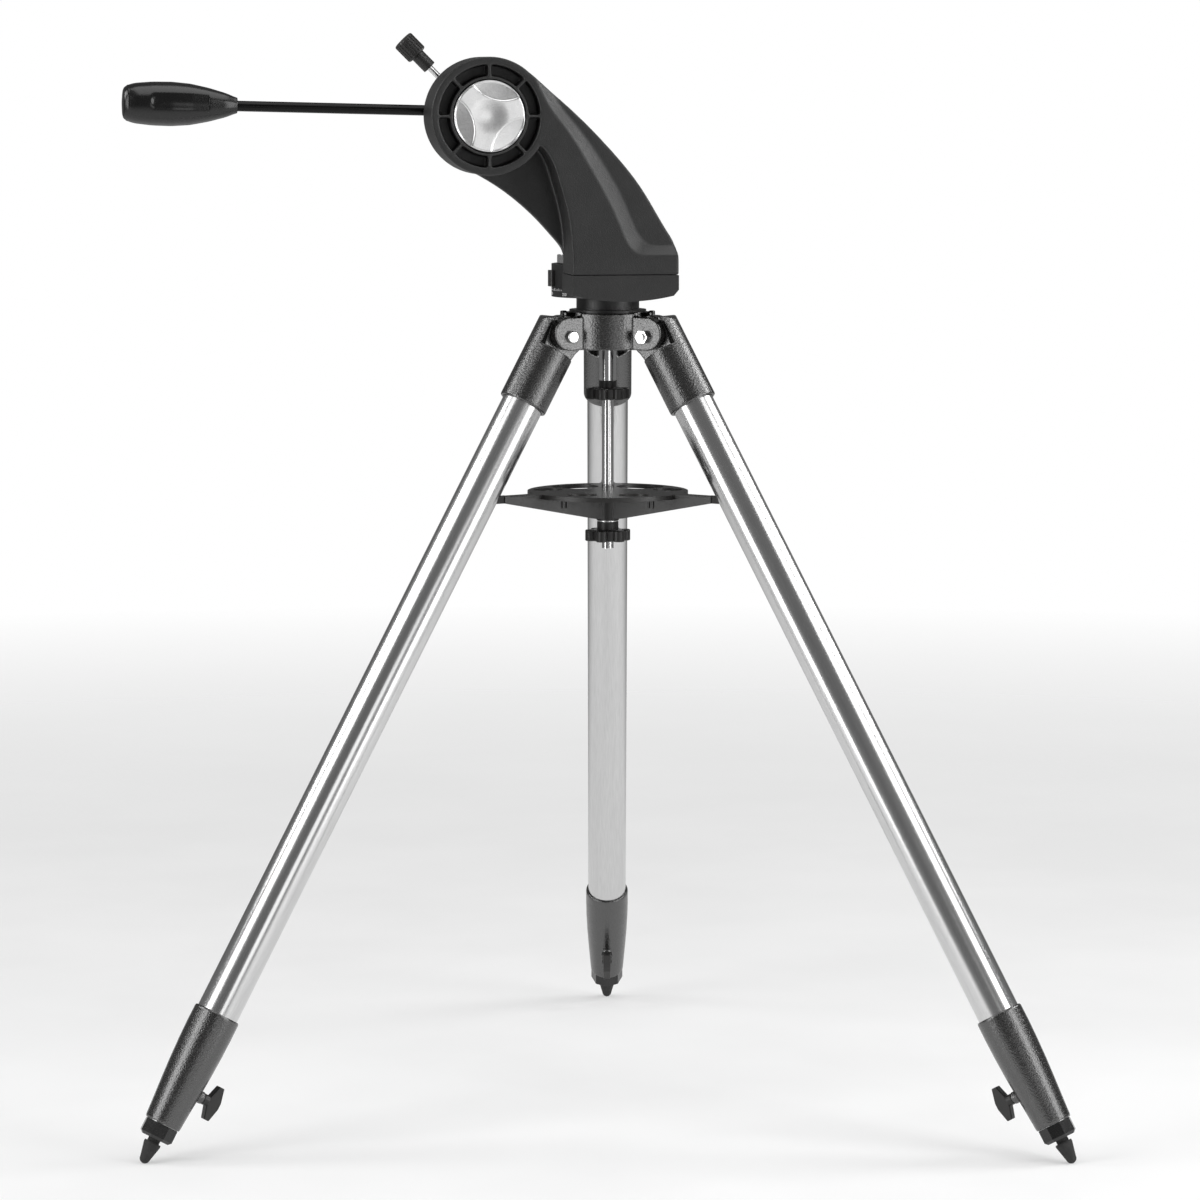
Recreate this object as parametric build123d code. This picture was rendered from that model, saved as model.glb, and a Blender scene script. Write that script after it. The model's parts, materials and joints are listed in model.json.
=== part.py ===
from build123d import *
import os
from math import cos, radians, sin, tan

# Alt-azimuth telescope mount on a three-leg tripod with stainless tube legs.
# Millimetres. Origin on the floor under the azimuth axis, +Z up along that axis.
# +Y runs along the altitude axis towards the telescope saddle, and the panning
# handle points towards -X. The tripod stands turned a little from the head.

# ---- driving dimensions: tripod ----
TRIPOD_TURN = -10.0
LEG_AZIMUTH = {"left": 210.0, "right": 330.0, "rear": 90.0}
HINGE_Z = 835.0
HINGE_R = 56.0
LEG_TILT = 30.4
LEG_OFFSET = 5.5
RUN = 0.05
GAP = 0.3

TUBE_R = 22.225
TUBE_WALL = 1.2
TUBE_TOP = 32.0
TUBE_END = 845.0
SOCKET_R = 26.0
SOCKET_TOP = 21.0
SOCKET_END = 86.0
HOOD_ROOF = 22.0
HOOD_ROUND = 8.0
TONGUE_HALF = 9.9
TONGUE_R = 22.0

FOOT_TOP = 800.0
FOOT_END = 926.0
INNER_R = 17.0
INNER_WALL = 1.2
INNER_TOP = 470.0
LOCK_S = 884.5
BOSS_R = 6.6
COLLAR_TOP = 926.4
COLLAR_END = 943.0
TIP_END_R = 5.5

HUB_R = 47.0
HUB_LOW = 820.5
HUB_TOP = 859.0
HUB_ROOF = 13.0
HUB_CAVITY_R = 25.0
LUG_OUT = 16.0
EAR_IN = 10.5
EAR_OUT = 21.0
EAR_LOW = -14.5
EAR_HIGH = 20.5
BOLT_R = 4.0
BOLT_HEAD_R = 6.5
BOLT_HEAD = 5.0
BOLT_END = 9.0
NUT_R = 7.5
NUT_HEIGHT = 6.5

# ---- driving dimensions: centre rod and tray ----
STUD_R = 6.0
STUD_TOP = 872.0
SHANK_R = 9.0
SHANK_LOW = 786.0
ROD_R = 6.3
TRAY_FIT = 0.4
ROD_LOW = 606.0
KNOB_R = 23.6
KNOB_HEIGHT = 12.0
KNOB_LOBES = 6
FIXING_KNOB_LOW = 766.0
TRAY_KNOB_LOW = 614.0
TRAY_TOP = 668.0
TRAY_R = 86.0
TRAY_TIP_R = 129.0
TRAY_HUB_LOW = 636.3
PLATE_T = 3.0
STIFFENERS = (54.0, 59.0)
STIFFENER_DROP = 16.0
EYEPIECE_LARGE_R = 25.6
EYEPIECE_SMALL_R = 16.1

# ---- driving dimensions: head ----
SCREW_PLACES = [(-40, -88), (41, -88), (-40, -66), (41, -66)]
SCREW_R = 3.0
SCREW_HEAD_R = 5.0
SCREW_LOW = 884.0
SCREW_TOP = 922.0
BORE_R = 12.0
AXIS_X = -142.0
AXIS_Z = 1067.5
SCOOP_ANGLES = (75, 195, 315)
FRONT_Y = -104.0
BACK_Y = -42.0
WEB_Y = -54.0
WELL_Y = -84.0
COVER_Y = -46.0
CAVITY_Y = -88.0
SHOULDER_DEPTH = 10.0
RING_R = 61.0
POCKET_OUT = 53.0
POCKET_IN = 41.0
RIM = 5.0
WELL_R = 38.3
SHAFT_R = 10.0
SHAFT_LOW = 875.0
SHAFT_TOP = 918.0
BEARING_R = 18.5
BEARING_W = 9.0
FLANGE_R = 41.0
NECK_R = 33.5
NECK_TOP = 875.6
SPIGOT_R = 30.0
SPIGOT_TOP = 885.2
DRUM_R = 60.0
DRUM_LOW = 886.2
DRUM_TOP = 910.5
SPLIT_Z = 902.8
BASE_LEFT = -55.5
BASE_RIGHT = 57.0
SADDLE_R = 49.0
SADDLE_BACK = -34.0
SADDLE_HUB_R = 46.0
SLOT_TURN = 45.0
SLOT_FLOOR = -20.0
SADDLE_FACE = -6.0
SLOT_HALF = 22.8
SEAT_HALF = 18.6
RELIEF = 0.8
DOVETAIL_ANGLE = 15.0
CLAMP_Y = -13.0
CLAMP_R = 3.2
CLAMP_HEAD_R = 11.5
CLAMP_HEAD = (89.0, 111.0)
CLAMP_RIBS = 20
HANDLE_Y = -27.0
HANDLE_RISE = 1.4
HANDLE_LIFT = 4.0
HANDLE_ROD_R = 5.5
GRIP_NEAR = 254.0
GRIP_LENGTH = 119.0


# ---- helpers ----
def rod(radius, low, high, x=0.0, y=0.0):
    """Upright cylinder from low to high."""
    return Pos(x, y, (low + high) / 2) * Cylinder(radius, high - low)


def ring(outer, inner, low, high):
    """Upright ring from low to high."""
    return rod(outer, low, high) - rod(inner, low - 1, high + 1)


def block(x_low, x_high, y_low, y_high, z_low, z_high):
    """Box between two corners."""
    centre = Pos((x_low + x_high) / 2, (y_low + y_high) / 2, (z_low + z_high) / 2)
    return centre * Box(x_high - x_low, y_high - y_low, z_high - z_low)


def slab(sketch, near, far):
    """Extrude an X-Z outline along Y from near to far."""
    return Pos(0, far, 0) * Rot(90, 0, 0) * extrude(sketch, far - near)


def turned(points):
    """Revolve a closed radius-height outline about Z."""
    face = make_face(Polyline(*points, close=True))
    return revolve(Rot(90, 0, 0) * face, Axis.Z)


def on_leg(part, azimuth):
    """Carry a part from the leg's own frame to its place on the tripod."""
    turn = Rot(0, 0, azimuth + TRIPOD_TURN)
    return turn * Pos(HINGE_R, 0, HINGE_Z) * Rot(0, -LEG_TILT, 0) * part


def on_tripod(part, azimuth):
    """Turn an upright part to a leg's azimuth."""
    return Rot(0, 0, azimuth + TRIPOD_TURN) * part


def along_leg(radius, top, end):
    """Cylinder on the leg's tube axis, top and end measured down from the hinge."""
    return rod(radius, -end, -top, x=LEG_OFFSET)


def on_altitude(part):
    """Carry a part built on Z to the altitude axis, its Z pointing along +Y."""
    return Pos(AXIS_X, 0, AXIS_Z) * Rot(-90, 0, 0) * part


def save(name, part):
    """Write one sub-part."""
    solids = list(part.solids())
    shape = solids[0] if len(solids) == 1 else Compound(children=solids)
    export_step(shape, f"parts/{name}.step")


# ---- tripod hub ----
def tripod_hub():
    """Hub casting: a round body with three pairs of hinge ears."""
    hub = rod(HUB_R, HUB_LOW, HUB_TOP)
    end_r = (EAR_HIGH - EAR_LOW) / 2
    end_z = (EAR_HIGH + EAR_LOW) / 2
    ear = Pos(-14, 0) * Rectangle(33, EAR_HIGH - EAR_LOW) + Pos(2.5, 0) * Circle(end_r)
    for azimuth in LEG_AZIMUTH.values():
        pair = slab(ear, -EAR_OUT, EAR_OUT)
        pair = Pos(HINGE_R, 0, HINGE_Z + end_z) * pair
        for side in (-1, 1):
            lug = block(42, 48, side * LUG_OUT - 2.5, side * LUG_OUT + 2.5, HINGE_Z + 10, HUB_TOP + 2)
            pair = pair + lug
        hub = hub + on_tripod(pair, azimuth)
    for azimuth in LEG_AZIMUTH.values():
        slot = block(HINGE_R - 24, HINGE_R + 40, -EAR_IN, EAR_IN, HUB_LOW - 5, HUB_TOP + 5)
        pin = Pos(HINGE_R, 0, HINGE_Z) * Rot(90, 0, 0) * Cylinder(BOLT_R, 80)
        hub = hub - on_tripod(slot + pin, azimuth)
    hub = hub - rod(HUB_CAVITY_R, HUB_LOW - 1, HUB_TOP - HUB_ROOF)
    return hub - rod(STUD_R + RUN, HUB_LOW, HUB_TOP + 5)


def hinge_bolt():
    """Hinge bolt in the leg's frame: head on the +Y side, thread end on the -Y side."""
    shank = Rot(90, 0, 0) * Cylinder(BOLT_R, 2 * EAR_OUT)
    head = Pos(0, EAR_OUT + BOLT_HEAD / 2, 0) * Rot(90, 0, 0) * Cylinder(BOLT_HEAD_R, BOLT_HEAD)
    head = fillet(head.edges().group_by(Axis.Y)[-1], 1.5)
    end = Pos(0, -EAR_OUT - BOLT_END / 2, 0) * Rot(90, 0, 0) * Cylinder(BOLT_R, BOLT_END)
    return shank + head + end


def hinge_nut():
    """Hexagon nut on the thread end of a hinge bolt."""
    hexagon = extrude(RegularPolygon(NUT_R, 6), NUT_HEIGHT)
    nut = hexagon - Cylinder(BOLT_R, 40)
    return Pos(0, -EAR_OUT, 0) * Rot(90, 0, 0) * nut


# ---- legs, each built in the leg's own frame ----
def rounded_shoulder():
    """Everything under the hood's level roof and inside its wall, with a rounded outer corner."""
    wall = LEG_OFFSET + SOCKET_R
    slope = tan(radians(LEG_TILT))
    roof_at_axis = HOOD_ROOF / cos(radians(LEG_TILT))
    corner = (wall, roof_at_axis - wall * slope)
    outline = Polyline(corner, (wall, -60), (-60, -60), (-60, roof_at_axis + 60 * slope), close=True)
    face = make_face(outline)
    nearest = face.vertices().sort_by_distance(corner)[0]
    return slab(fillet(nearest, HOOD_ROUND), -40, 40)


def leg_head():
    """Upper casting: tube socket, hinge tongue and the outer hood."""
    socket = along_leg(SOCKET_R, SOCKET_TOP, SOCKET_END)
    socket = fillet(socket.edges().group_by(Axis.Z)[0], 1.5)
    tongue_web = Polyline((-20.5, -4), (21.5, -4), (19, -24), (-17, -24), close=True)
    tongue = slab(Circle(TONGUE_R) + make_face(tongue_web), -TONGUE_HALF, TONGUE_HALF)
    column = along_leg(SOCKET_R, -40, SOCKET_TOP + 2)
    upright = Rot(0, LEG_TILT, 0)
    below_roof = upright * block(-60, 90, -40, 40, -90, HOOD_ROOF)
    roof_layer = upright * block(14, 90, -17, 17, HOOD_ROOF - 4.5, HOOD_ROOF)
    hood_wall = block(26.5, 40, -17, 17, -30, 40)
    hood = (column & (roof_layer + hood_wall)) & below_roof & rounded_shoulder()
    hood = hood - Rot(90, 0, 0) * Cylinder(22.4, 80)
    head = socket + tongue + hood
    head = head - along_leg(TUBE_R, TUBE_TOP, SOCKET_END + 5)
    return head - Rot(90, 0, 0) * Cylinder(BOLT_R + RUN, 80)


def leg_tube():
    """Main stainless tube."""
    outer = along_leg(TUBE_R, TUBE_TOP, TUBE_END)
    return outer - along_leg(TUBE_R - TUBE_WALL, TUBE_TOP - 1, TUBE_END + 1)


def lower_casting():
    """Barrel-shaped casting that holds the tube and guides the inner leg."""
    outline = [(0, -FOOT_TOP), (24.0, -FOOT_TOP), (24.8, -FOOT_TOP - 2)]
    outline += [(24.9, -820), (24.5, -840), (23.6, -862), (22.2, -884), (20.6, -906)]
    outline += [(19.4, -FOOT_END + 2), (18.8, -FOOT_END), (0, -FOOT_END)]
    body = Pos(LEG_OFFSET, 0, 0) * turned(outline)
    boss = Pos(LEG_OFFSET - 23, 0, -LOCK_S) * Rot(0, 90, 0) * Cylinder(BOSS_R, 11)
    body = body + boss
    body = body - along_leg(TUBE_R, FOOT_TOP - 1, TUBE_END)
    body = body - along_leg(INNER_R + GAP, TUBE_END - 1, FOOT_END + 1)
    screw_hole = Pos(LEG_OFFSET - 23, 0, -LOCK_S) * Rot(0, 90, 0) * Cylinder(BOLT_R + RUN, 22)
    return body - screw_hole


def lock_screw():
    """Wing screw that clamps the inner leg, pointing at the tripod's centre line."""
    stud = Pos(LEG_OFFSET - 26.4, 0, -LOCK_S) * Rot(0, 90, 0) * Cylinder(BOLT_R, 17.6)
    collar = Pos(LEG_OFFSET - 32, 0, -LOCK_S) * Rot(0, 90, 0) * Cylinder(BOSS_R - 0.8, 6)
    outline = [(-49, 3.5), (-45, 18.5), (-39, 18.5), (-34.5, 5), (-34.5, -5), (-39, -18.5)]
    outline += [(-45, -18.5), (-49, -3.5)]
    face = make_face(Polyline(*outline, close=True))
    wing = Pos(LEG_OFFSET, 0, -LOCK_S) * slab(face, -4.5, 4.5)
    return stud + collar + fillet(wing.edges(), 1.2)


def inner_leg():
    """Extension tube, stored inside the main tube."""
    outer = along_leg(INNER_R, INNER_TOP, COLLAR_TOP)
    return outer - along_leg(INNER_R - INNER_WALL, INNER_TOP - 1, COLLAR_TOP + 1)


def guide_bush():
    """Plastic bush at the top of the extension tube, sliding in the main tube."""
    cap = along_leg(TUBE_R - TUBE_WALL - GAP, INNER_TOP - 5, INNER_TOP)
    sleeve = along_leg(TUBE_R - TUBE_WALL - GAP, INNER_TOP, INNER_TOP + 20)
    return cap + (sleeve - along_leg(INNER_R, INNER_TOP, INNER_TOP + 30))


def foot_collar():
    """Eight-sided plug that closes the extension tube and carries the rubber tip."""
    sides = extrude(RegularPolygon(18.7, 8), COLLAR_END - COLLAR_TOP)
    sides = chamfer(sides.edges().group_by(Axis.Z)[0], 3.0)
    sides = Pos(LEG_OFFSET, 0, -COLLAR_END) * sides
    return sides + along_leg(INNER_R - INNER_WALL, COLLAR_TOP - 18, COLLAR_TOP)


def tip_centre():
    """Distance down the leg to the centre of the tip's rounded end."""
    tilt = radians(LEG_TILT)
    return (HINGE_Z + LEG_OFFSET * sin(tilt) - TIP_END_R) / cos(tilt)


def rubber_tip():
    """Tapered rubber tip with a round end that stands on the floor."""
    centre = tip_centre()
    outline = [(0, -COLLAR_END), (6.5, -COLLAR_END), (6.5, -COLLAR_END - 4)]
    outline += [(8.8, -COLLAR_END - 4), (9.2, -COLLAR_END - 6), (TIP_END_R, -centre), (0, -centre)]
    cone = Pos(LEG_OFFSET, 0, 0) * turned(outline)
    return cone + Pos(LEG_OFFSET, 0, -centre) * Sphere(TIP_END_R)


# ---- centre rod and tray ----
def lobed_knob(low, high, radius, lobes, hole):
    """Hand knob with rounded lobes and a bore."""
    waist = radius * 0.72
    plan = Circle(waist)
    for index in range(lobes):
        plan = plan + Rot(0, 0, 360 * index / lobes) * Pos(radius * 0.74, 0) * Circle(radius * 0.26)
    knob = Pos(0, 0, low) * extrude(plan, high - low)
    knob = fillet(knob.edges().group_by(Axis.Z)[0] + knob.edges().group_by(Axis.Z)[-1], 1.2)
    return knob - Cylinder(hole, 4000)


def centre_rod():
    """Fixing stud, thick shank and tray rod in one piece."""
    shoulder = HUB_TOP - HUB_ROOF - GAP
    stud = rod(STUD_R, shoulder, STUD_TOP)
    shank = rod(SHANK_R, SHANK_LOW, shoulder)
    return stud + shank + rod(ROD_R, ROD_LOW, SHANK_LOW)


def tray_knob():
    """Hand knob that holds the tray up, with its neck."""
    top = TRAY_KNOB_LOW + KNOB_HEIGHT
    knob = lobed_knob(TRAY_KNOB_LOW, top, KNOB_R + 0.8, KNOB_LOBES, ROD_R + RUN)
    return knob + ring(11.5, ROD_R + RUN, top - 0.1, TRAY_HUB_LOW - 1.8)


def fixing_knob():
    """Hand knob that turns the fixing stud."""
    top = FIXING_KNOB_LOW + KNOB_HEIGHT
    knob = lobed_knob(FIXING_KNOB_LOW, top, KNOB_R, KNOB_LOBES, ROD_R)
    return knob + ring(SHANK_R + 0.6, ROD_R, top, SHANK_LOW)


def tray_arm():
    """One tapering arm of the tray with its deep rib, along +X."""
    plan = make_face(Polyline((0, -17), (80, -9), (TRAY_TIP_R, -4), (TRAY_TIP_R, 4), (80, 9), (0, 17),
                              close=True))
    flange = Pos(0, 0, TRAY_TOP - PLATE_T) * extrude(plan, PLATE_T)
    rib = make_face(Polyline((0, TRAY_HUB_LOW), (22, TRAY_HUB_LOW + 3), (TRAY_TIP_R, TRAY_TOP - 7.5),
                             (TRAY_TIP_R, TRAY_TOP - 1), (0, TRAY_TOP - 1), close=True))
    ribs = slab(rib, -6.5, -3.5) + slab(rib, 3.5, 6.5)
    for distance in STIFFENERS:
        ribs = ribs + block(distance - 1, distance + 1, -8, 8, TRAY_TOP - STIFFENER_DROP, TRAY_TOP - 1)
    return flange + ribs + block(TRAY_TIP_R - 6, TRAY_TIP_R, -6.5, 6.5, TRAY_TOP - 7.5, TRAY_TOP)


def tray_holes():
    """Eyepiece holes: azimuth on the tripod, distance from the centre and radius."""
    large = [(128, 57, EYEPIECE_LARGE_R), (52, 57, EYEPIECE_LARGE_R)]
    side = [(172, 65, EYEPIECE_SMALL_R), (8, 65, EYEPIECE_SMALL_R)]
    front = [(243, 60, EYEPIECE_SMALL_R), (297, 60, EYEPIECE_SMALL_R)]
    return large + side + front


def tray():
    """Accessory tray: round plate, three arms, hub and eyepiece holes."""
    plate = rod(TRAY_R, TRAY_TOP - PLATE_T, TRAY_TOP)
    skirt = ring(TRAY_R, TRAY_R - 2.5, TRAY_TOP - PLATE_T - 2, TRAY_TOP)
    body = plate + skirt + rod(12, TRAY_HUB_LOW, TRAY_TOP)
    for azimuth in LEG_AZIMUTH.values():
        body = body + on_tripod(tray_arm(), azimuth)
    for azimuth, distance, radius in tray_holes():
        body = body - on_tripod(rod(radius, TRAY_TOP - 8, TRAY_TOP + 2, x=distance), azimuth)
    return body - rod(ROD_R + TRAY_FIT, 600, 700)


def tray_pad():
    """Rubber pad at an arm's tip, hollowed to sit against the leg tube."""
    pad = block(TRAY_TIP_R, TRAY_TIP_R + 12, -5.5, 5.5, TRAY_TOP - 7.5, TRAY_TOP)
    clearance = Pos(HINGE_R, 0, HINGE_Z) * Rot(0, -LEG_TILT, 0) * along_leg(TUBE_R + GAP, 60, 400)
    return pad - clearance


# ---- azimuth axis ----
def azimuth_base():
    """Foot flange, neck and spigot that the head turns on."""
    base = rod(FLANGE_R, HUB_TOP, HUB_TOP + 3) + rod(NECK_R, HUB_TOP, NECK_TOP)
    base = base + rod(SPIGOT_R, HUB_TOP, SPIGOT_TOP)
    base = base - rod(STUD_R, HUB_TOP - 1, STUD_TOP + 1)
    return base - rod(SHAFT_R, SHAFT_LOW, SPIGOT_TOP + 1)


def azimuth_drum():
    """Turning drum with its bearing seats and the foot that carries the arm."""
    drum = rod(DRUM_R, DRUM_LOW, DRUM_TOP)
    foot = block(-50, 51, -99, -30, 884, SPLIT_Z) - rod(DRUM_R + 0.5, 880, DRUM_LOW)
    drum = drum + foot - rod(BORE_R, 880, 920)
    drum = drum - rod(BEARING_R, 880, DRUM_LOW + BEARING_W)
    drum = drum - rod(BEARING_R, DRUM_TOP - BEARING_W, 920)
    for x, y in SCREW_PLACES:
        drum = drum - rod(SCREW_R, 880, SCREW_TOP, x, y)
    return drum


def arm_screw(x, y):
    """Cap screw through the drum's foot up into the arm."""
    return rod(SCREW_R, SCREW_LOW, SCREW_TOP, x, y) + rod(SCREW_HEAD_R, SCREW_LOW - 4.5, SCREW_LOW, x, y)


def base_cover():
    """Cover under the arm: a shell around the drum's foot with an arched lower edge."""
    edge = Line((BASE_LEFT, 902.2), (BASE_LEFT, 882))
    edge = edge + ThreePointArc((BASE_LEFT, 882), (-2, 875), (51.6, 880.8))
    edge = edge + Polyline((51.6, 880.8), (BASE_RIGHT, 887), (BASE_RIGHT, 902.2), (BASE_LEFT, 902.2))
    shell = slab(make_face(edge), FRONT_Y, -37)
    shell = shell - block(-50.2, 51.2, -99.2, -30, 883.5, 905)
    shell = shell - rod(DRUM_R + 0.5, 860, DRUM_LOW) - rod(DRUM_R, DRUM_LOW - 1, 920)
    for x, y in SCREW_PLACES:
        shell = shell - rod(SCREW_HEAD_R + 0.5, 870, 890, x, y)
    return shell


def azimuth_pointer():
    """Rounded index block on the side of the drum."""
    nose = Pos(-DRUM_R - 0.5, 0, 895.5) * Box(8, 14, 17)
    nose = fillet(nose.edges().filter_by(Axis.Z), 3.0) - rod(DRUM_R, 880, 920)
    return Rot(0, 0, 4) * nose


def recessed_face(radius, thickness, depth):
    """Metal tension knob built on Z: bead-edged disc, three lens recesses and a dimple."""
    knob = Pos(0, 0, thickness / 2) * Cylinder(radius, thickness)
    knob = fillet(knob.edges().group_by(Axis.Z)[-1], 2.5)
    for angle in SCOOP_ANGLES:
        reach = 1.51 * radius
        cutter = Cylinder(1.05 * radius, 2 * depth)
        place = Pos(reach * cos(radians(angle)), reach * sin(radians(angle)), thickness)
        knob = knob - place * cutter
    return knob - Pos(0, 0, thickness) * Cylinder(0.48 * radius, depth)


def azimuth_knob():
    """Metal knob that sets the azimuth drag."""
    knob = Pos(0, 0, DRUM_TOP + 1) * recessed_face(54, 9.9, 1.6)
    return knob - rod(SHAFT_R + RUN, 900, SHAFT_TOP + 0.2)


def bearing(low):
    """Sealed ball bearing, 20 x 37 x 9."""
    return ring(BEARING_R, SHAFT_R + RUN, low, low + BEARING_W)


# ---- arm and altitude axis ----
def arm_outline():
    """Side view of the arm, from the altitude housing down to the split line."""
    top = (AXIS_X + RING_R * cos(radians(50.4)), AXIS_Z + RING_R * sin(radians(50.4)))
    low = (AXIS_X + RING_R * cos(radians(264)), AXIS_Z + RING_R * sin(radians(264)))
    right = Spline(top, (-55, 1074), (-13, 1032), (20, 991), (45.5, 949), (BASE_RIGHT, 916),
                   tangents=[(1, -0.83), (0, -1)])
    left = Spline((BASE_LEFT, 917), (-65.4, 938), (-84.4, 959), (-107.6, 980), low,
                  tangents=[(0, 1), (-1, 0.55)])
    bottom = Polyline((BASE_RIGHT, 916), (BASE_RIGHT, SPLIT_Z), (BASE_LEFT, SPLIT_Z), (BASE_LEFT, 917))
    return make_face(right + bottom + left + Line(low, top)) + Pos(AXIS_X, AXIS_Z) * Circle(RING_R)


def block_outline():
    """Deep front block: the arm's outline cut off at its left wall."""
    wall = Spline((BASE_LEFT, SPLIT_Z), (-56.3, 934), (-60.5, 968), (-68.9, 998.5), (-82, 1030),
                  (-100, 1043))
    rest = Polyline((-100, 1043), (-100, 1200), (300, 1200), (300, SPLIT_Z), (BASE_LEFT, SPLIT_Z))
    return arm_outline() & make_face(wall + rest)


def shoulder_recess():
    """Space in front of the sunk rear shoulder, with sloping walls."""
    ridge = [(-104, 1124), (-92, 1102), (-79, 1077), (-63.5, 1056.5), (-39, 1018.5), (-18, 981)]
    ridge += [(-4, 951), (6, 931), (22, 923)]
    groove = [(-94, 1124), (-81, 1102), (-66, 1077), (-49, 1056.5), (-22, 1018.5), (-1, 981)]
    groove += [(11, 953), (19, 940), (34, 933.5)]
    faces = []
    for points, depth in ((ridge, FRONT_Y), (groove, FRONT_Y + SHOULDER_DEPTH)):
        low = points[-1][1]
        curve = Spline(*points, tangents=[(0.6, -1), (1, -0.05)])
        rest = Polyline(points[-1], (150, low), (150, 1124), points[0])
        faces.append(Pos(0, depth, 0) * Rot(90, 0, 0) * make_face(curve + rest))
    return loft(faces)


def cavity_outline(margin):
    """Hollow inside the arm, a margin larger for the seat of its rear cover."""
    face = make_face(Polyline((-70, 1036), (-56, 1052), (-16, 1010), (15, 972), (40, 934), (-46, 934),
                              (-52, 970), close=True))
    return offset(face, margin) if margin else face


def arm_casting():
    """Arm: altitude housing with its pocket ring, front block, sunk shoulder and thin web."""
    body = slab(arm_outline(), WEB_Y, BACK_Y) + slab(block_outline(), FRONT_Y, WEB_Y)
    body = body + on_altitude(rod(RING_R, FRONT_Y, BACK_Y))
    body = body - (shoulder_recess() - on_altitude(rod(POCKET_OUT + RIM, FRONT_Y - 5, BACK_Y)))
    pockets = Circle(POCKET_OUT) - Circle(POCKET_IN)
    for index in range(4):
        pockets = pockets - Rot(0, 0, 45 * index) * Rectangle(120, 3)
    pockets = Pos(0, 0, FRONT_Y - 1) * extrude(pockets, 19)
    bores = pockets + rod(WELL_R, FRONT_Y - 1, WELL_Y) + rod(BORE_R, -90, -30)
    bores = bores + rod(BEARING_R, WELL_Y - 1, WELL_Y + BEARING_W)
    bores = bores + rod(BEARING_R, BACK_Y - BEARING_W, -30)
    body = body - on_altitude(bores)
    body = body - slab(cavity_outline(0), CAVITY_Y, COVER_Y) - slab(cavity_outline(3), COVER_Y, -30)
    body = body - rod(DRUM_R, 890, DRUM_TOP + 0.1) - rod(56, 900, 926)
    for x, y in SCREW_PLACES:
        body = body - rod(SCREW_R, 890, SCREW_TOP, x, y)
    return body


def arm_back_cover():
    """Plate that closes the hollow in the arm."""
    return slab(offset(cavity_outline(3), -0.1), COVER_Y, BACK_Y)


def altitude_shaft():
    """Steel shaft from the tension knob to the saddle."""
    return on_altitude(rod(SHAFT_R, -100.3, -30))


def altitude_washers():
    """Thrust washer under the knob and friction washer against the saddle."""
    return on_altitude(ring(28, SHAFT_R, -87.7, -84.3) + ring(40, SHAFT_R, -41.7, -41))


def altitude_knob():
    """Metal knob that sets the altitude drag."""
    knob = Pos(0, 0, -88) * Rot(180, 0, 0) * recessed_face(37.5, 15.5, 1.6)
    return on_altitude(knob - rod(SHAFT_R + RUN, -100.6, -80))


def across_saddle(part):
    """Turn a part from slot-aligned axes (X along the slot, Z across) to its place."""
    return Pos(AXIS_X, 0, AXIS_Z) * Rot(0, -SLOT_TURN, 0) * part


def dovetail_shift():
    """How far the slot narrows from its floor to its face."""
    return (SADDLE_FACE - SLOT_FLOOR) * tan(radians(DOVETAIL_ANGLE))


def saddle():
    """Round saddle with a dovetail slot, a raised seat along it and a wall for the clamp screw."""
    disc = on_altitude(rod(SADDLE_R, SADDLE_BACK, SADDLE_FACE) + rod(SADDLE_HUB_R, -41, SADDLE_BACK))
    shift = dovetail_shift()
    section = Polyline((SLOT_FLOOR - RELIEF, -SLOT_HALF), (SLOT_FLOOR, -SLOT_HALF),
                       (SADDLE_FACE, -SLOT_HALF + shift), (SADDLE_FACE, -10), (5, -10), (5, 40),
                       (SLOT_FLOOR - RELIEF, 40), (SLOT_FLOOR - RELIEF, SEAT_HALF),
                       (SLOT_FLOOR, SEAT_HALF), (SLOT_FLOOR, -SEAT_HALF),
                       (SLOT_FLOOR - RELIEF, -SEAT_HALF), close=True)
    slot = extrude(Plane.YZ * make_face(section), 80, both=True)
    hole = rod(CLAMP_R + RUN, 30, 60, y=CLAMP_Y)
    disc = disc - across_saddle(slot + hole)
    disc = disc - on_altitude(rod(SHAFT_R, -60, -30))
    return disc - handle_bar(SADDLE_R + 20)


def saddle_jaw():
    """Moving jaw with the dovetail face."""
    shift = dovetail_shift() * 0.98
    section = Polyline((SLOT_FLOOR + GAP, SLOT_HALF), (SADDLE_FACE - GAP, SLOT_HALF - shift),
                       (SADDLE_FACE - GAP, 33.5), (SLOT_FLOOR + GAP, 33.5), close=True)
    jaw = extrude(Plane.YZ * make_face(section), 27, both=True)
    return across_saddle(jaw - rod(CLAMP_R + RUN, 26.5, 40, y=CLAMP_Y))


def clamp_stud():
    """Steel stud of the clamp screw."""
    return across_saddle(rod(CLAMP_R, 26.8, 80, y=CLAMP_Y))


def clamp_knob():
    """Ribbed plastic head of the clamp screw with its collar."""
    low, high = CLAMP_HEAD
    head = fillet(rod(CLAMP_HEAD_R, low, high).edges(), 2.0)
    reach = CLAMP_HEAD_R + 0.1
    for index in range(CLAMP_RIBS):
        angle = radians(360 * index / CLAMP_RIBS)
        head = head - rod(0.9, low + 2.5, high + 9, x=reach * cos(angle), y=reach * sin(angle))
    knob = head + rod(7.3, 71, low) - rod(CLAMP_R, 60, 80)
    return across_saddle(Pos(0, CLAMP_Y, 0) * knob)


def handle_bar(length):
    """Bar of the panning handle from inside the saddle outwards."""
    bar = Rot(0, -90, 0) * rod(HANDLE_ROD_R, 32, length)
    return Pos(AXIS_X, HANDLE_Y, AXIS_Z + HANDLE_LIFT) * Rot(0, HANDLE_RISE, 0) * bar


def handle_rod():
    """Steel bar of the panning handle."""
    return handle_bar(GRIP_NEAR + 40)


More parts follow.
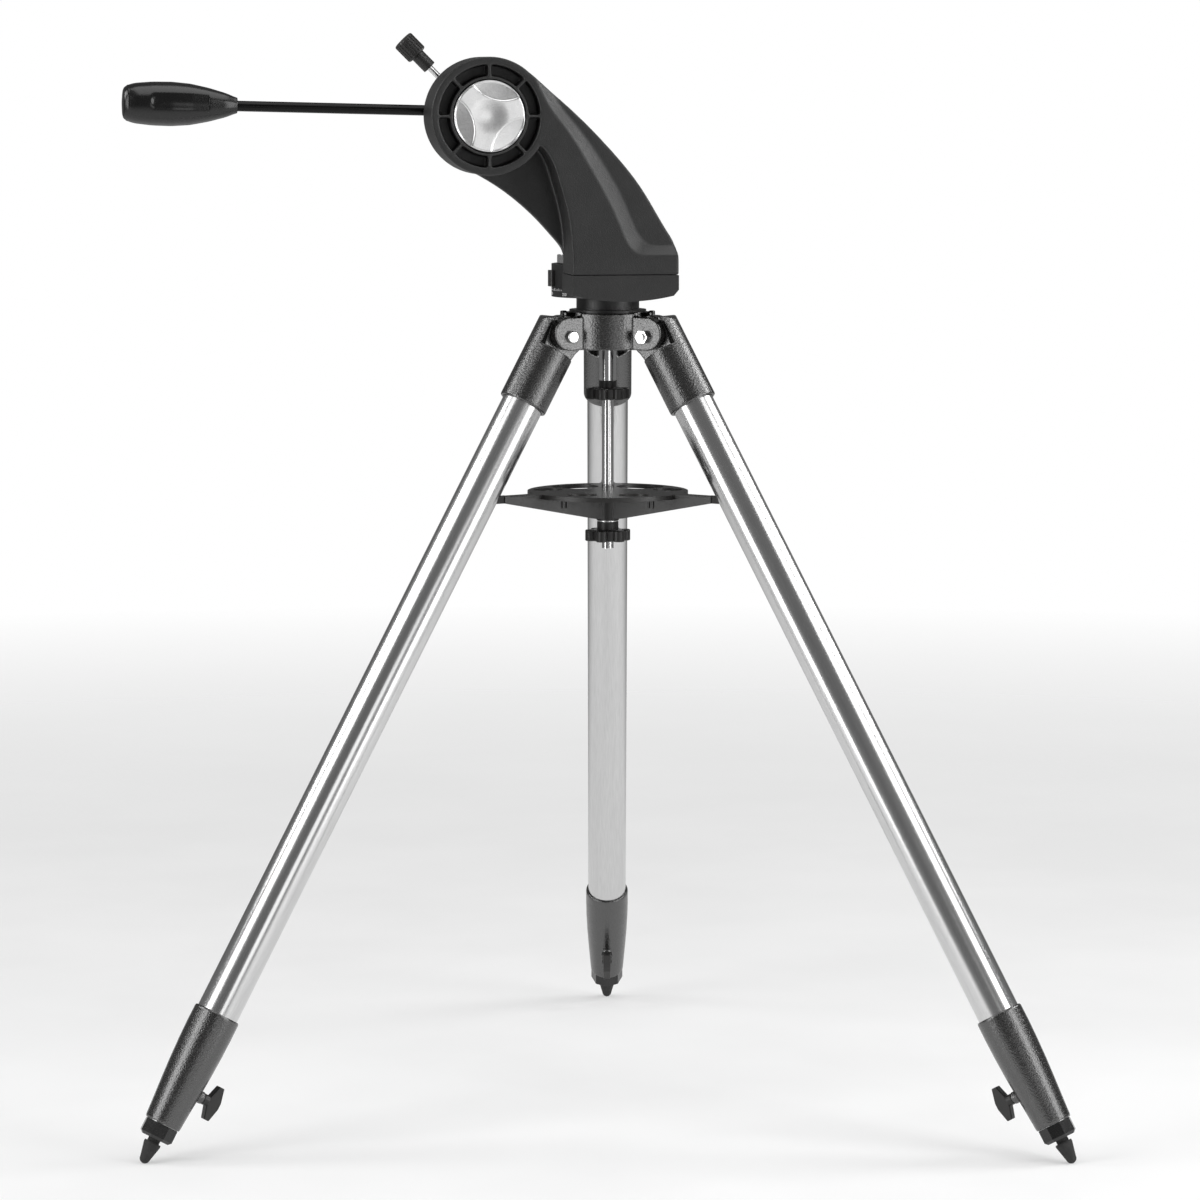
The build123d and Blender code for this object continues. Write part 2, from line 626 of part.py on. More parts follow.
def handle_grip():
    """Moulded grip, fuller towards its outer end."""
    profile = Spline((6.5, 0), (13.5, 18), (20.5, 45), (22.6, 72), (21.0, 104), (17.5, 116.5))
    end = ThreePointArc((17.5, 116.5), (15.8, 118.4), (13, GRIP_LENGTH))
    outline = profile + end + Polyline((13, GRIP_LENGTH), (0, GRIP_LENGTH), (0, 0), (6.5, 0))
    grip = revolve(Rot(90, 0, 0) * make_face(outline), Axis.Z)
    grip = Pos(0, 0, GRIP_NEAR) * grip - rod(HANDLE_ROD_R, 200, GRIP_NEAR + 40)
    grip = Rot(0, -90, 0) * grip
    return Pos(AXIS_X, HANDLE_Y, AXIS_Z + HANDLE_LIFT) * Rot(0, HANDLE_RISE, 0) * grip


# ---- write every sub-part ----
def join(parts):
    """Group separate solids."""
    return Compound(children=[solid for part in parts for solid in part.solids()])


def main():
    os.makedirs("parts", exist_ok=True)
    azimuths = LEG_AZIMUTH.values()
    save("tripod_hub", tripod_hub())
    save("hinge_bolts", join([on_tripod(Pos(HINGE_R, 0, HINGE_Z) * hinge_bolt(), a) for a in azimuths]))
    save("hinge_nuts", join([on_tripod(Pos(HINGE_R, 0, HINGE_Z) * hinge_nut(), a) for a in azimuths]))
    leg_pieces = {"leg_head": leg_head(), "leg_tube": leg_tube(), "lower_casting": lower_casting(),
                  "lock_screw": lock_screw(), "inner_leg": inner_leg(), "guide_bush": guide_bush(),
                  "foot_collar": foot_collar(), "rubber_tip": rubber_tip()}
    for side, azimuth in LEG_AZIMUTH.items():
        for piece, shape in leg_pieces.items():
            save(f"{piece}_{side}", on_leg(shape, azimuth))
    save("centre_rod", centre_rod())
    save("fixing_knob", fixing_knob())
    save("tray", tray())
    save("tray_pads", join([on_tripod(tray_pad(), a) for a in azimuths]))
    save("tray_washer", ring(11, ROD_R + TRAY_FIT, TRAY_HUB_LOW - 1.5, TRAY_HUB_LOW))
    save("tray_knob", tray_knob())
    save("azimuth_base", azimuth_base())
    save("azimuth_shaft", rod(SHAFT_R, SHAFT_LOW, SHAFT_TOP))
    lower_washer = ring(29, SHAFT_R, SPIGOT_TOP, DRUM_LOW - GAP)
    upper_washer = ring(SPIGOT_R, SHAFT_R, DRUM_TOP + GAP, DRUM_TOP + 0.7)
    save("azimuth_washers", join([lower_washer, upper_washer]))
    save("azimuth_circle", ring(DRUM_R, SPIGOT_R + 0.06, NECK_TOP + GAP, SPIGOT_TOP + 0.6))
    save("azimuth_drum", azimuth_drum())
    save("azimuth_bearings", join([bearing(DRUM_LOW), bearing(DRUM_TOP - BEARING_W)]))
    save("base_cover", base_cover())
    save("azimuth_pointer", azimuth_pointer())
    save("azimuth_knob", azimuth_knob())
    save("arm_casting", arm_casting())
    save("arm_screws", join([arm_screw(x, y) for x, y in SCREW_PLACES]))
    save("arm_back_cover", arm_back_cover())
    save("altitude_shaft", altitude_shaft())
    save("altitude_bearings", on_altitude(join([bearing(WELL_Y), bearing(BACK_Y - BEARING_W)])))
    save("altitude_washers", altitude_washers())
    save("altitude_circle", on_altitude(ring(51, SADDLE_HUB_R + 0.06, -41.6, SADDLE_BACK - GAP)))
    save("altitude_knob", altitude_knob())
    save("saddle", saddle())
    save("saddle_jaw", saddle_jaw())
    save("clamp_stud", clamp_stud())
    save("clamp_knob", clamp_knob())
    save("handle_rod", handle_rod())
    save("handle_grip", handle_grip())


if __name__ == "__main__":
    main()
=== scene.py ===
import json
from math import atan2, cos, exp, hypot, pi, radians, sin

import bmesh
import bpy
from mathutils import Matrix, Vector


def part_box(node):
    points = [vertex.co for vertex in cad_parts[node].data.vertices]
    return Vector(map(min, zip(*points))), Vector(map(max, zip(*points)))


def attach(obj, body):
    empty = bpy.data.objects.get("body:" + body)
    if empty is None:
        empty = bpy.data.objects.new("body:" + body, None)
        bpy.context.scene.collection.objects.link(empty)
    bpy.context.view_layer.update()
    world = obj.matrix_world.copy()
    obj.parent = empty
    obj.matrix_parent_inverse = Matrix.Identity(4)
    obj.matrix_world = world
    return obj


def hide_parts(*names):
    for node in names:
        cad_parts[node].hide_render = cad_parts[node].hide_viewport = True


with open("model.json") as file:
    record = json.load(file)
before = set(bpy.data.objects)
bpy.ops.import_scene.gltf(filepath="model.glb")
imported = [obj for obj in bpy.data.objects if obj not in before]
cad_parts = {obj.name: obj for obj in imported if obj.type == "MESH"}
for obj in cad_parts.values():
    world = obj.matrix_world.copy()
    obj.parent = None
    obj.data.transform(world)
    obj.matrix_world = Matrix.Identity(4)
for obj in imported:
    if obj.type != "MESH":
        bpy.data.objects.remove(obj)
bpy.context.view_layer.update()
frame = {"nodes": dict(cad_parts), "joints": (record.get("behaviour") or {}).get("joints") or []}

# Looks of an alt-azimuth telescope mount on a stainless tripod. Metres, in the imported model's frame.

MM = 0.001
PAINT_T = 0.12
GRIP_LENGTH = 119.2
GRIP_STEPS = 160
GRIP_SIDES = 128
FLUTE_ANGLE = radians(188)
FLUTE_HALF_WIDTH = 7.6
FLUTE_START = 29
FLUTE_END = 92
DIMPLE_AT = 87
FLOOR_R = 4.5
FADE_FROM = 1.0
FLOOR_GLOW = 0.38
NODES = frame["nodes"]
SIDES = ("left", "right", "rear")


# ---- shader helpers ----
class Finish:
    """A procedural surface on one Principled shader, mapped in the object's own space."""

    def __init__(self, name, turn=None, stretch=(1.0, 1.0, 1.0), rounding=0.6 * MM):
        self.material = bpy.data.materials.new(name)
        self.material.use_nodes = True
        self.tree = self.material.node_tree
        self.shader = self.tree.nodes["Principled BSDF"]
        self.place = self.add("ShaderNodeTexCoord").outputs["Object"]
        if turn is not None:
            self.place = self.mapped(self.place, rotation=turn)
        if tuple(stretch) != (1.0, 1.0, 1.0):
            self.place = self.mapped(self.place, scale=stretch)
        self.height = None
        if rounding:
            bevel = self.add("ShaderNodeBevel")
            bevel.samples = 4
            bevel.inputs["Radius"].default_value = rounding
            self.height = bevel.outputs["Normal"]

    def add(self, kind):
        return self.tree.nodes.new(kind)

    def link(self, start, end):
        self.tree.links.new(start, end)

    def mapped(self, vector, rotation=None, scale=None):
        node = self.add("ShaderNodeMapping")
        if rotation is not None:
            node.inputs["Rotation"].default_value = rotation
        if scale is not None:
            node.inputs["Scale"].default_value = scale
        self.link(vector, node.inputs["Vector"])
        return node.outputs["Vector"]

    def noise(self, size, detail=3.0, rough=0.55, low=0.35, high=0.65, place=None):
        """Soft noise with features about size metres across, stretched to 0..1."""
        node = self.add("ShaderNodeTexNoise")
        node.inputs["Scale"].default_value = 1.0 / size
        node.inputs["Detail"].default_value = detail
        node.inputs["Roughness"].default_value = rough
        self.link(place or self.place, node.inputs["Vector"])
        return self.ranged(node.outputs["Fac"], low, high, 0.0, 1.0)

    def cells(self, size, low=0.0, high=0.6):
        """Rounded cells about size metres across: 0 at a centre, 1 at a border."""
        node = self.add("ShaderNodeTexVoronoi")
        node.inputs["Scale"].default_value = 1.0 / size
        self.link(self.place, node.inputs["Vector"])
        return self.ranged(node.outputs["Distance"], low, high, 0.0, 1.0)

    def ranged(self, value, low, high, to_low, to_high):
        node = self.add("ShaderNodeMapRange")
        for socket, number in zip(("From Min", "From Max", "To Min", "To Max"), (low, high, to_low, to_high)):
            node.inputs[socket].default_value = number
        self.link(value, node.inputs["Value"])
        return node.outputs["Result"]

    def edges(self, width, low=0.05, high=0.45):
        """1 along hard edges, 0 elsewhere."""
        bevel = self.add("ShaderNodeBevel")
        bevel.samples = 4
        bevel.inputs["Radius"].default_value = width
        true = self.add("ShaderNodeNewGeometry")
        gap = self.add("ShaderNodeVectorMath")
        gap.operation = "DISTANCE"
        self.link(bevel.outputs["Normal"], gap.inputs[0])
        self.link(true.outputs["Normal"], gap.inputs[1])
        return self.ranged(gap.outputs["Value"], low, high, 0.0, 1.0)

    def blend(self, factor, first, second):
        """Colour between first and second; either may be a colour or a socket."""
        node = self.add("ShaderNodeMix")
        node.data_type = "RGBA"
        self.link(factor, node.inputs["Factor"])
        for socket, value in (("A", first), ("B", second)):
            end = [s for s in node.inputs if s.name == socket and s.type == "RGBA"][0]
            if isinstance(value, tuple):
                end.default_value = (*value, 1.0)
            else:
                self.link(value, end)
        return [s for s in node.outputs if s.type == "RGBA"][0]

    def times(self, first, second):
        node = self.add("ShaderNodeMath")
        node.operation = "MULTIPLY"
        self.link(first, node.inputs[0])
        if isinstance(second, float):
            node.inputs[1].default_value = second
        else:
            self.link(second, node.inputs[1])
        return node.outputs["Value"]

    def bump(self, height, depth, strength=1.0):
        """Lay another bump over those before it; depth is in metres."""
        node = self.add("ShaderNodeBump")
        node.inputs["Distance"].default_value = depth
        node.inputs["Strength"].default_value = strength
        self.link(height, node.inputs["Height"])
        if self.height is not None:
            self.link(self.height, node.inputs["Normal"])
        self.height = node.outputs["Normal"]
        self.link(self.height, self.shader.inputs["Normal"])

    def colour(self, socket):
        self.link(socket, self.shader.inputs["Base Color"])

    def roughness(self, socket):
        self.link(socket, self.shader.inputs["Roughness"])

    def fixed(self, **values):
        for name, value in values.items():
            self.shader.inputs[name.replace("_", " ")].default_value = value
        return self.material


def grey(value, warm=0.0):
    return (value * (1 + warm), value, value * (1 - warm))


# ---- materials ----
def hammered(name, base, fleck):
    """Thick glossy casting paint with a pebbled skin that sparkles in specks."""
    skin = Finish(name)
    pebbles = skin.cells(2.2 * MM)
    drift = skin.noise(1.0 * MM, detail=2.0)
    speck = skin.times(skin.noise(0.8 * MM, detail=1.0, low=0.56, high=0.68), 0.7)
    wear = skin.times(skin.edges(0.7 * MM), skin.noise(6 * MM))
    body = skin.blend(speck, grey(base, 0.08), grey(fleck, 0.04))
    skin.colour(skin.blend(skin.times(wear, 0.35), body, grey(0.15)))
    skin.roughness(skin.ranged(drift, 0.0, 1.0, 0.14, 0.3))
    skin.bump(pebbles, 0.13 * MM)
    skin.bump(drift, 0.07 * MM)
    return skin.fixed(Specular_IOR_Level=1.0, IOR=1.62)


def satin_paint(name, base, rough, grain=0.55, depth=0.05):
    """Fine, even powder coat over a casting."""
    skin = Finish(name)
    fine = skin.noise(grain * MM, detail=2.0)
    patch = skin.noise(22 * MM, detail=4.0)
    wear = skin.times(skin.edges(0.6 * MM), skin.noise(5 * MM, detail=5.0))
    body = skin.blend(patch, grey(base * 0.88), grey(base * 1.12))
    body = skin.blend(skin.times(fine, 0.35), body, grey(base * 1.7))
    skin.colour(skin.blend(skin.times(wear, 0.25), body, grey(base * 6)))
    skin.roughness(skin.ranged(patch, 0.0, 1.0, rough - 0.05, rough + 0.06))
    skin.bump(fine, depth * MM)
    return skin.fixed()


def moulded(name, base, rough, grain=0.7, depth=0.04, warm=0.0):
    """Moulded plastic: faint flow patches, a spark-eroded grain and lighter rubbed edges."""
    skin = Finish(name)
    fine = skin.noise(grain * MM, detail=3.0)
    flow = skin.noise(30 * MM, detail=2.0)
    rub = skin.times(skin.edges(0.5 * MM), skin.noise(7 * MM, detail=4.0))
    body = skin.blend(flow, grey(base * 0.85, warm), grey(base * 1.15, warm))
    skin.colour(skin.blend(skin.times(rub, 0.3), body, grey(base * 5 + 0.03, warm)))
    skin.roughness(skin.ranged(fine, 0.0, 1.0, rough - 0.06, rough + 0.08))
    skin.bump(fine, depth * MM)
    return skin.fixed()


def rubber(name, base):
    """Dull rubber with dust in its grain."""
    skin = Finish(name)
    fine = skin.noise(0.5 * MM, detail=4.0)
    dust = skin.noise(9 * MM, detail=5.0, low=0.45, high=0.7)
    skin.colour(skin.blend(skin.times(dust, 0.5), grey(base), grey(base * 2.6, 0.04)))
    skin.roughness(skin.ranged(fine, 0.0, 1.0, 0.62, 0.85))
    skin.bump(fine, 0.06 * MM)
    return skin.fixed()


def machined(name, base, rough, streak=0.4, depth=0.004, turn=None, stretch=(1, 1, 1), spread=0.08):
    """Bare or plated metal with fine tool marks, smudges and bright worn edges."""
    skin = Finish(name, turn, stretch)
    marks = skin.noise(streak * MM, detail=4.0)
    smudge = skin.noise(35 * MM, detail=4.0)
    rub = skin.edges(0.4 * MM)
    body = skin.blend(marks, grey(base * 0.93), grey(base * 1.05))
    skin.colour(skin.blend(skin.times(rub, 0.5), body, grey(min(1.0, base * 1.25))))
    skin.roughness(skin.ranged(smudge, 0.0, 1.0, rough - spread / 2, rough + spread))
    skin.bump(marks, depth * MM)
    return skin.fixed(Metallic=1.0)


def leg_direction(side):
    """Unit vector down the leg's tube, from its telescoping joint."""
    joint = next(j for j in frame["joints"] if j["name"] == f"leg_extension_{side}")
    return Vector(joint["axis"]).normalized()


def tube_metal(side):
    """Ground stainless tube with faint lengthwise die lines."""
    turn = leg_direction(side).rotation_difference(Vector((0, 0, 1))).to_euler()
    return machined(f"stainless_tube_{side}", 0.62, 0.2, 0.6, 0.0015, turn, (1.0, 1.0, 0.03))


def disc_metal(name, base, rough):
    """Sandblasted silver with a soft sheen, and a painted highlight in near-white along its sharp rims."""
    skin = Finish(name)
    blast = skin.noise(0.35 * MM, detail=2.0)
    cloud = skin.noise(14 * MM, detail=3.0)
    painted_rim_highlight = skin.edges(0.5 * MM, low=0.08, high=0.5)
    body = skin.blend(cloud, grey(base * 0.94), grey(base * 1.04))
    # painted highlight: every hard rim is lightened towards near-white in the colour itself, whatever the
    # lighting
    skin.colour(skin.blend(skin.times(painted_rim_highlight, 0.35), body, grey(0.95)))
    skin.roughness(skin.ranged(blast, 0.0, 1.0, rough - 0.05, rough + 0.08))
    skin.bump(blast, 0.006 * MM)
    return skin.fixed(Metallic=1.0)


MATERIALS = {
    "hammered_casting": hammered("hammered_casting", 0.003, 0.03),
    "zinc_steel": machined("zinc_steel", 0.78, 0.2),
    "inner_tube": machined("inner_tube", 0.5, 0.3, 0.5),
    "lock_plastic": moulded("lock_plastic", 0.012, 0.34, warm=0.04),
    "bush_plastic": moulded("bush_plastic", 0.02, 0.5),
    "collar_plastic": moulded("collar_plastic", 0.008, 0.2, depth=0.015),
    "tip_rubber": rubber("tip_rubber", 0.014),
    "chromed_rod": machined("chromed_rod", 0.85, 0.09, 0.8, 0.001, spread=0.05),
    "knob_plastic": moulded("knob_plastic", 0.011, 0.34, warm=0.05),
    "tray_plastic": moulded("tray_plastic", 0.011, 0.36, warm=0.05),
    "satin_black_casting": satin_paint("satin_black_casting", 0.007, 0.34),
    "ground_steel": machined("ground_steel", 0.55, 0.22, 0.3),
    "friction_washer": moulded("friction_washer", 0.35, 0.5, warm=0.1),
    "scale_black": satin_paint("scale_black", 0.010, 0.38),
    "drum_casting": satin_paint("drum_casting", 0.007, 0.34, 0.5, 0.04),
    "textured_black": moulded("textured_black", 0.012, 0.42, 0.9, 0.08),
    "cover_plastic": satin_paint("cover_plastic", 0.007, 0.34),
    "satin_silver": disc_metal("satin_silver", 0.74, 0.28),
    "black_rod": machined("black_rod", 0.02, 0.3, 0.5),
    "grip_plastic": moulded("grip_plastic", 0.004, 0.22, 0.6, 0.008),
    "white_paint": moulded("white_paint", 0.75, 0.5),
}
for side in SIDES:
    MATERIALS[f"tube_{side}"] = tube_metal(side)


# ---- pieces ----
def dress(obj, finish):
    """Put one finish on every slot of an object."""
    for place in obj.material_slots:
        place.material = MATERIALS[finish]


def welded(mesh, gap=1e-5):
    """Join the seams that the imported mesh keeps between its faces."""
    work = bmesh.new()
    work.from_mesh(mesh)
    bmesh.ops.remove_doubles(work, verts=work.verts, dist=gap)
    work.to_mesh(mesh)
    work.free()


def applied(obj):
    """Freeze an object's modifiers into its mesh."""
    bpy.context.view_layer.update()
    graph = bpy.context.evaluated_depsgraph_get()
    mesh = bpy.data.meshes.new_from_object(obj.evaluated_get(graph))
    obj.modifiers.clear()
    obj.data = mesh
    return obj


def new_piece(name, mesh, body, finish, replaced=()):
    """Add a piece that rides on a body, with its finish and the CAD nodes it stands for."""
    piece = bpy.data.objects.new(name, mesh)
    bpy.context.scene.collection.objects.link(piece)
    mesh.materials.clear()
    mesh.materials.append(MATERIALS[finish])
    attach(piece, body)
    if replaced:
        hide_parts(*replaced)
    return piece


def cast(node, name, voxel, passes):
    """Casting with soft, drafted edges, grown from its CAD solid."""
    mesh = NODES[node].data.copy()
    welded(mesh)
    source = bpy.data.objects.new(name, mesh)
    bpy.context.scene.collection.objects.link(source)
    skin = source.modifiers.new("skin", "REMESH")
    skin.mode = "VOXEL"
    skin.voxel_size = voxel
    skin.adaptivity = 0.0
    soft = source.modifiers.new("soft", "SMOOTH")
    soft.factor = 0.5
    soft.iterations = passes
    applied(source)
    mesh = source.data
    bpy.data.objects.remove(source)
    mesh.shade_smooth()
    return mesh


slot_of = {}
for name, node in NODES.items():
    slot_of[name] = node.material_slots[0].material.name.split(".")[0]
for name, node in NODES.items():
    finish = slot_of[name]
    if finish == "stainless_tube":
        finish = "tube_" + name.rsplit("_", 1)[1]
    dress(node, finish)


def surface_mesh(name, rows):
    """Mesh from rows of points; each row is a closed loop, the first and last are capped."""
    mesh = bpy.data.meshes.new(name)
    work = bmesh.new()
    loops = [[work.verts.new(point) for point in row] for row in rows]
    for near, far in zip(loops, loops[1:]):
        for index in range(len(near)):
            after = (index + 1) % len(near)
            work.faces.new((near[index], near[after], far[after], far[index]))
    work.faces.new(loops[0])
    work.faces.new(loops[-1])
    bmesh.ops.recalc_face_normals(work, faces=work.faces)
    work.to_mesh(mesh)
    work.free()
    mesh.shade_smooth()
    return mesh


def ease(value):
    """Smooth step from 0 to 1."""
    value = min(1.0, max(0.0, value))
    return value * value * (3 - 2 * value)


def scooped(x, z, radius):
    """How far a tension knob's face sinks at a point, in metres: three scoops and a dish."""
    sink = 1.5 * MM * ease(1 - hypot(x, z) / (0.56 * radius))
    for angle in (75, 195, 315):
        reach = 1.51 * radius
        inside = 1.05 * radius - hypot(x - reach * cos(radians(angle)), z - reach * sin(radians(angle)))
        sink = max(sink, 0.8 * MM * ease(inside / (1.3 * MM)) + 0.1 * max(0.0, inside))
    return sink


def altitude_knob():
    """Tension knob of the altitude axis: dished face, three finger scoops and a rolled rim."""
    low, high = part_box("altitude_knob")
    centre = (low + high) / 2
    radius = (high.x - low.x) / 2
    roll = 2.6 * MM
    turns = 256
    rows = []
    profile = [(radius, high.y)]
    profile += [(radius - roll * (1 - cos(a)), low.y + roll * (1 - sin(a)))
                for a in [pi / 2 * step / 8 for step in range(9)]]
    profile += [((radius - roll) * (1 - step / 70), low.y) for step in range(1, 70)]
    for reach, depth in profile:
        row = []
        for step in range(turns):
            angle = 2 * pi * step / turns
            x, z = reach * cos(angle), reach * sin(angle)
            near = ease((radius - reach) / roll)
            row.append((centre.x + x, depth + near * scooped(x, z, radius), centre.z + z))
        rows.append(row)
    return surface_mesh("altitude_knob_face", rows)


def grip_radius(along):
    """Radius of the handle grip at a distance from its rod end, in millimetres."""
    stations = [(0, 8.0), (4, 9.4), (12, 12.6), (30, 17.6), (49, 21.4), (68, 22.9), (88, 22.6), (106, 20.9),
                (114, 18.6), (117.5, 15.8), (119, 11.0), (119.2, 4.0)]
    for (start, first), (end, last) in zip(stations, stations[1:]):
        if along <= end:
            share = (along - start) / (end - start)
            return first + (last - first) * share
    return stations[-1][1]


def grip():
    """Moulded grip with a long thumb flute on its front and a dimple at the flute's end."""
    low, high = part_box("handle_grip")
    rise = radians(1.4)
    axis = Vector((-cos(rise), 0, sin(rise)))
    up = Vector((sin(rise), 0, cos(rise)))
    start = Vector((high.x, (low.y + high.y) / 2, (low.z + high.z) / 2 - sin(rise) * (high.x - low.x) / 2))
    raw = [grip_radius(GRIP_LENGTH * step / GRIP_STEPS) for step in range(GRIP_STEPS + 1)]
    rows = []
    for step in range(GRIP_STEPS + 1):
        window = raw[max(0, step - 4):step + 5] if 6 < step < GRIP_STEPS - 8 else [raw[step]]
        reach = sum(window) / len(window)
        along = GRIP_LENGTH * step / GRIP_STEPS
        row = []
        for turn in range(GRIP_SIDES):
            angle = 2 * pi * turn / GRIP_SIDES
            off = atan2(sin(angle - FLUTE_ANGLE), cos(angle - FLUTE_ANGLE))
            across = off * reach / FLUTE_HALF_WIDTH
            groove = exp(-across ** 4) * ease((along - FLUTE_START) / 2.0) * ease((FLUTE_END - along) / 6.0)
            dent = 1.2 * exp(-((off * reach) ** 2 + (along - DIMPLE_AT) ** 2) / 9.0)
            size = (reach - 1.3 * groove - dent) * MM
            spot = start + axis * (along * MM) + Vector((0, 1, 0)) * (size * cos(angle))
            row.append(spot + up * (-size * sin(angle)))
        rows.append(row)
    return surface_mesh("grip_skin", rows)


def tick_band(name, centre, axis, radius, low, ticks):
    """Painted marks on a drum: each tick is (angle, half width, start, end) along the axis."""
    side = Vector((1, 0, 0))
    other = axis.cross(side)
    mesh = bpy.data.meshes.new(name)
    work = bmesh.new()
    for angle, half, start, end in ticks:
        corners = []
        for shift, height in ((-half, start), (half, start), (half, end), (-half, end)):
            turn = radians(angle) + shift / radius
            spot = centre + (side * cos(turn) + other * sin(turn)) * radius + axis * (low + height)
            corners.append(spot)
        bottom = [work.verts.new(c) for c in corners]
        lift = []
        for corner in corners:
            reach = corner - centre
            outward = (reach - axis * reach.dot(axis)).normalized()
            lift.append(work.verts.new(centre + reach + outward * PAINT_T * MM))
        work.faces.new(bottom)
        work.faces.new(lift)
        for index in range(4):
            after = (index + 1) % 4
            work.faces.new((bottom[index], bottom[after], lift[after], lift[index]))
    bmesh.ops.recalc_face_normals(work, faces=work.faces)
    work.to_mesh(mesh)
    work.free()
    return mesh


def degree_ticks(step, short, tall, base):
    """Marks all the way round, taller every fourth one."""
    marks = []
    for index in range(int(360 / step)):
        size = tall if index % 4 == 0 else short
        marks.append((index * step, 0.22 * MM, base, base + size))
    return marks


def numerals(name, centre, axis, radius, height, size):
    """Generic dial numbers every 30 degrees, wrapped round a drum."""
    side = Vector((1, 0, 0))
    other = axis.cross(side)
    mesh = bpy.data.meshes.new(name)
    work = bmesh.new()
    for number in range(0, 360, 30):
        text = bpy.data.curves.new("number", "FONT")
        text.body = str(number)
        text.size = size
        text.align_x = "CENTER"
        text.extrude = 0.06 * MM
        holder = bpy.data.objects.new("number", text)
        bpy.context.scene.collection.objects.link(holder)
        bpy.context.view_layer.update()
        graph = bpy.context.evaluated_depsgraph_get()
        flat = bpy.data.meshes.new_from_object(holder.evaluated_get(graph))
        bpy.data.objects.remove(holder)
        for vertex in flat.vertices:
            x, y, z = vertex.co
            turn = radians(number) + x / radius
            out = side * cos(turn) + other * sin(turn)
            vertex.co = centre + out * (radius + 0.05 * MM + z) + axis * (height + y)
        work.from_mesh(flat)
    work.to_mesh(mesh)
    work.free()
    return mesh


def marked(name, node, body, axis, radius_gap=0.0):
    """Put ticks and numbers on a setting circle."""
    low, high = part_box(node)
    centre = (low + high) / 2
    thick = abs((high - low).dot(axis))
    radius = (high.x - low.x) / 2 + radius_gap
    bottom = centre - axis * (thick / 2)
    ticks = tick_band(name + "_ticks", bottom, axis, radius, 0.0,
                      degree_ticks(2.5, 1.6 * MM, 2.8 * MM, thick - 3.2 * MM))
    new_piece(name + "_ticks", ticks, body, "white_paint")
    digits = numerals(name + "_numbers", bottom, axis, radius, thick * 0.18, thick * 0.46)
    new_piece(name + "_numbers", digits, body, "white_paint")


CASTINGS = {"arm_casting": ("arm", 1.1, 5)}
CASTINGS["tripod_hub"] = ("hub", 0.9, 3)
for side in SIDES:
    CASTINGS[f"leg_head_{side}"] = (f"leg_{side}", 0.9, 3)
    CASTINGS[f"lower_casting_{side}"] = (f"leg_{side}", 0.9, 3)
for node, (body, voxel, passes) in CASTINGS.items():
    new_piece(node + "_skin", cast(node, node + "_source", voxel * MM, passes), body, slot_of[node], [node])
new_piece("altitude_knob_face", altitude_knob(), "altitude_knob", "satin_silver", ["altitude_knob"])
new_piece("grip_skin", grip(), "altitude", "grip_plastic", ["handle_grip"])
marked("azimuth_scale", "azimuth_circle", "azimuth_circle", Vector((0, 0, 1)))
marked("altitude_scale", "altitude_circle", "altitude_circle", Vector((0, -1, 0)))


# ---- floor, light and camera ----
def floor():
    """Wide pale floor that fades out into the white backdrop."""
    mesh = bpy.data.meshes.new("floor")
    work = bmesh.new()
    bmesh.ops.create_circle(work, cap_ends=True, segments=96, radius=FLOOR_R)
    work.to_mesh(mesh)
    work.free()
    plate = bpy.data.objects.new("floor", mesh)
    bpy.context.scene.collection.objects.link(plate)
    skin = Finish("pale_floor")
    cloud = skin.noise(0.4, detail=3.0)
    skin.colour(skin.blend(cloud, grey(0.52), grey(0.56)))
    skin.roughness(skin.ranged(cloud, 0.0, 1.0, 0.7, 0.8))
    reach = skin.add("ShaderNodeVectorMath")
    reach.operation = "LENGTH"
    skin.link(skin.place, reach.inputs[0])
    skin.link(skin.ranged(reach.outputs["Value"], FADE_FROM, FLOOR_R, 1.0, 0.0), skin.shader.inputs["Alpha"])
    material = skin.fixed(Specular_IOR_Level=0.2, Emission_Color=(1, 1, 1, 1), Emission_Strength=FLOOR_GLOW)
    mesh.materials.append(material)


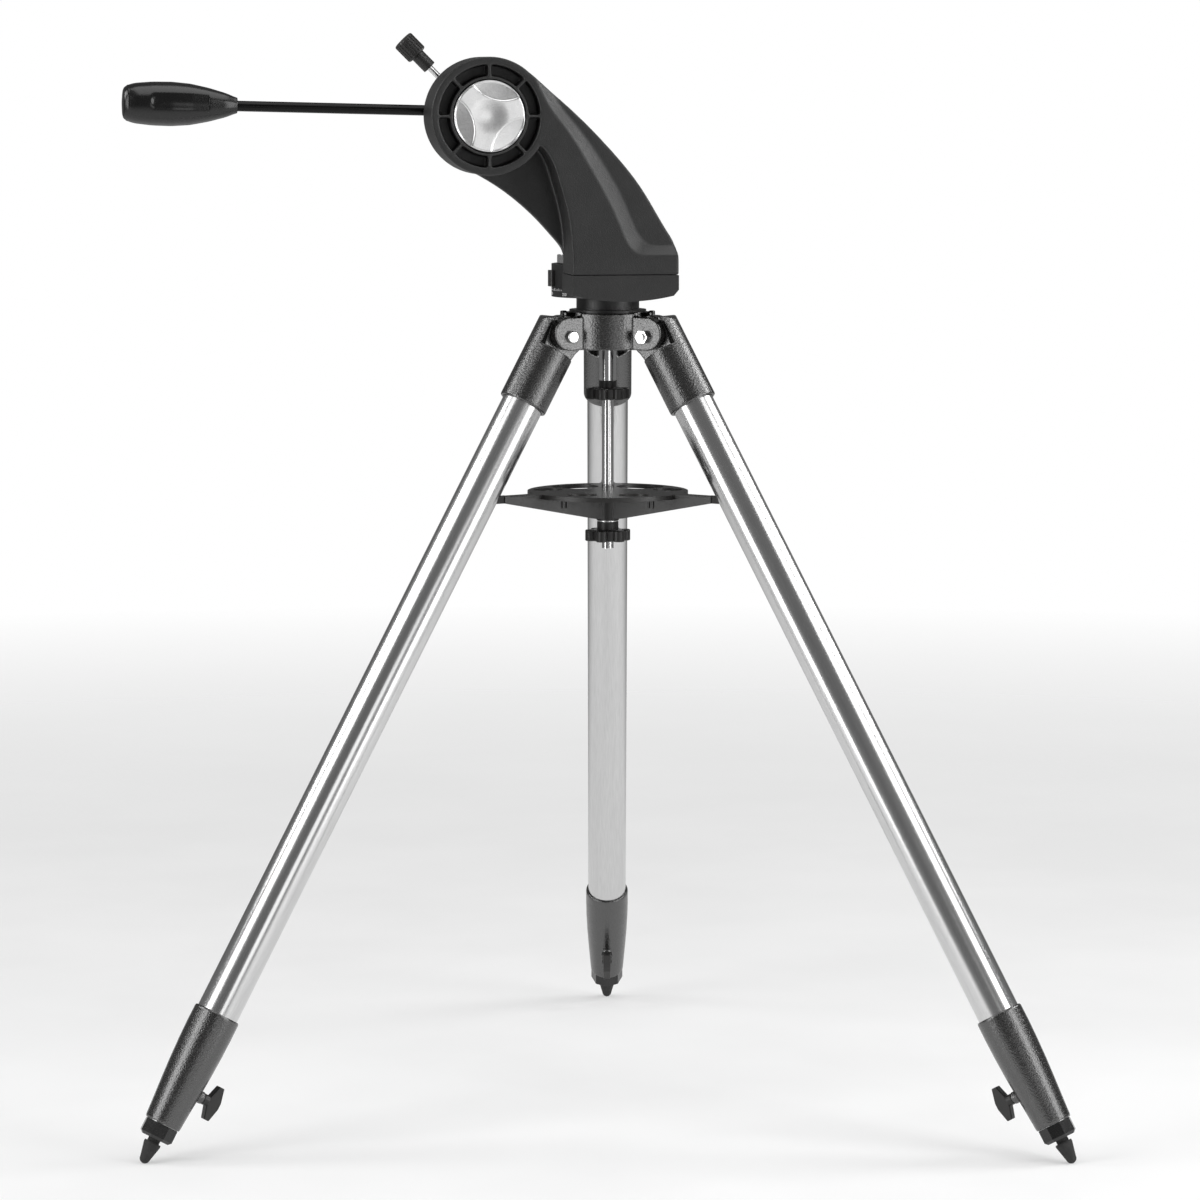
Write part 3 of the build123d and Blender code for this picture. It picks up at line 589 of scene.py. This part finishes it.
def softbox(name, place, target, width, height, power):
    """Rectangular soft light aimed at a point."""
    light = bpy.data.lights.new(name, "AREA")
    light.shape = "RECTANGLE"
    light.size = width
    light.size_y = height
    light.energy = power
    lamp = bpy.data.objects.new(name, light)
    lamp.location = place
    lamp.rotation_euler = (Vector(target) - Vector(place)).to_track_quat("-Z", "Y").to_euler()
    bpy.context.scene.collection.objects.link(lamp)


def sky():
    """White studio backdrop for the eye, dim surround for the light."""
    world = bpy.data.worlds.new("studio")
    bpy.context.scene.world = world
    world.use_nodes = True
    tree = world.node_tree
    tree.nodes.clear()
    eye = tree.nodes.new("ShaderNodeLightPath").outputs["Is Camera Ray"]
    mix = tree.nodes.new("ShaderNodeMixShader")
    out = tree.nodes.new("ShaderNodeOutputWorld")
    tree.links.new(eye, mix.inputs[0])
    for socket, value in ((1, 0.16), (2, 1.0)):
        glow = tree.nodes.new("ShaderNodeBackground")
        glow.inputs["Color"].default_value = (1, 1, 1, 1)
        glow.inputs["Strength"].default_value = value
        tree.links.new(glow.outputs[0], mix.inputs[socket])
    tree.links.new(mix.outputs[0], out.inputs[0])


def camera():
    """Long-lens view a little left of the front, looking slightly down."""
    data = bpy.data.cameras.new("camera")
    data.sensor_width = 36.0
    data.lens = 132.23
    data.clip_end = 200.0
    view = bpy.data.objects.new("camera", data)
    view.location = (-0.8243, -4.6271, 1.1138)
    view.rotation_euler = (radians(90 - 6.844), 0, radians(-10))
    bpy.context.scene.collection.objects.link(view)
    bpy.context.scene.camera = view


bpy.context.scene.view_settings.view_transform = "Standard"
floor()
sky()
softbox("left_strip", (-2.35, -1.1, 1.25), (0, 0, 0.75), 1.15, 2.8, 40)
softbox("right_strip", (1.95, -1.75, 1.25), (0, 0, 0.75), 1.15, 2.8, 40)
softbox("top_panel", (0.1, -0.4, 3.2), (0, 0, 0.8), 2.4, 2.4, 36)
softbox("right_high", (2.3, 0.0, 2.0), (0, 0, 1.0), 1.0, 1.0, 26)
softbox("left_high", (-2.3, 0.4, 2.1), (0, 0, 1.0), 0.8, 1.0, 18)
softbox("front_panel", (0.95, -4.6, 0.9), (-0.1, 0, 1.0), 1.5, 1.5, 11)
camera()
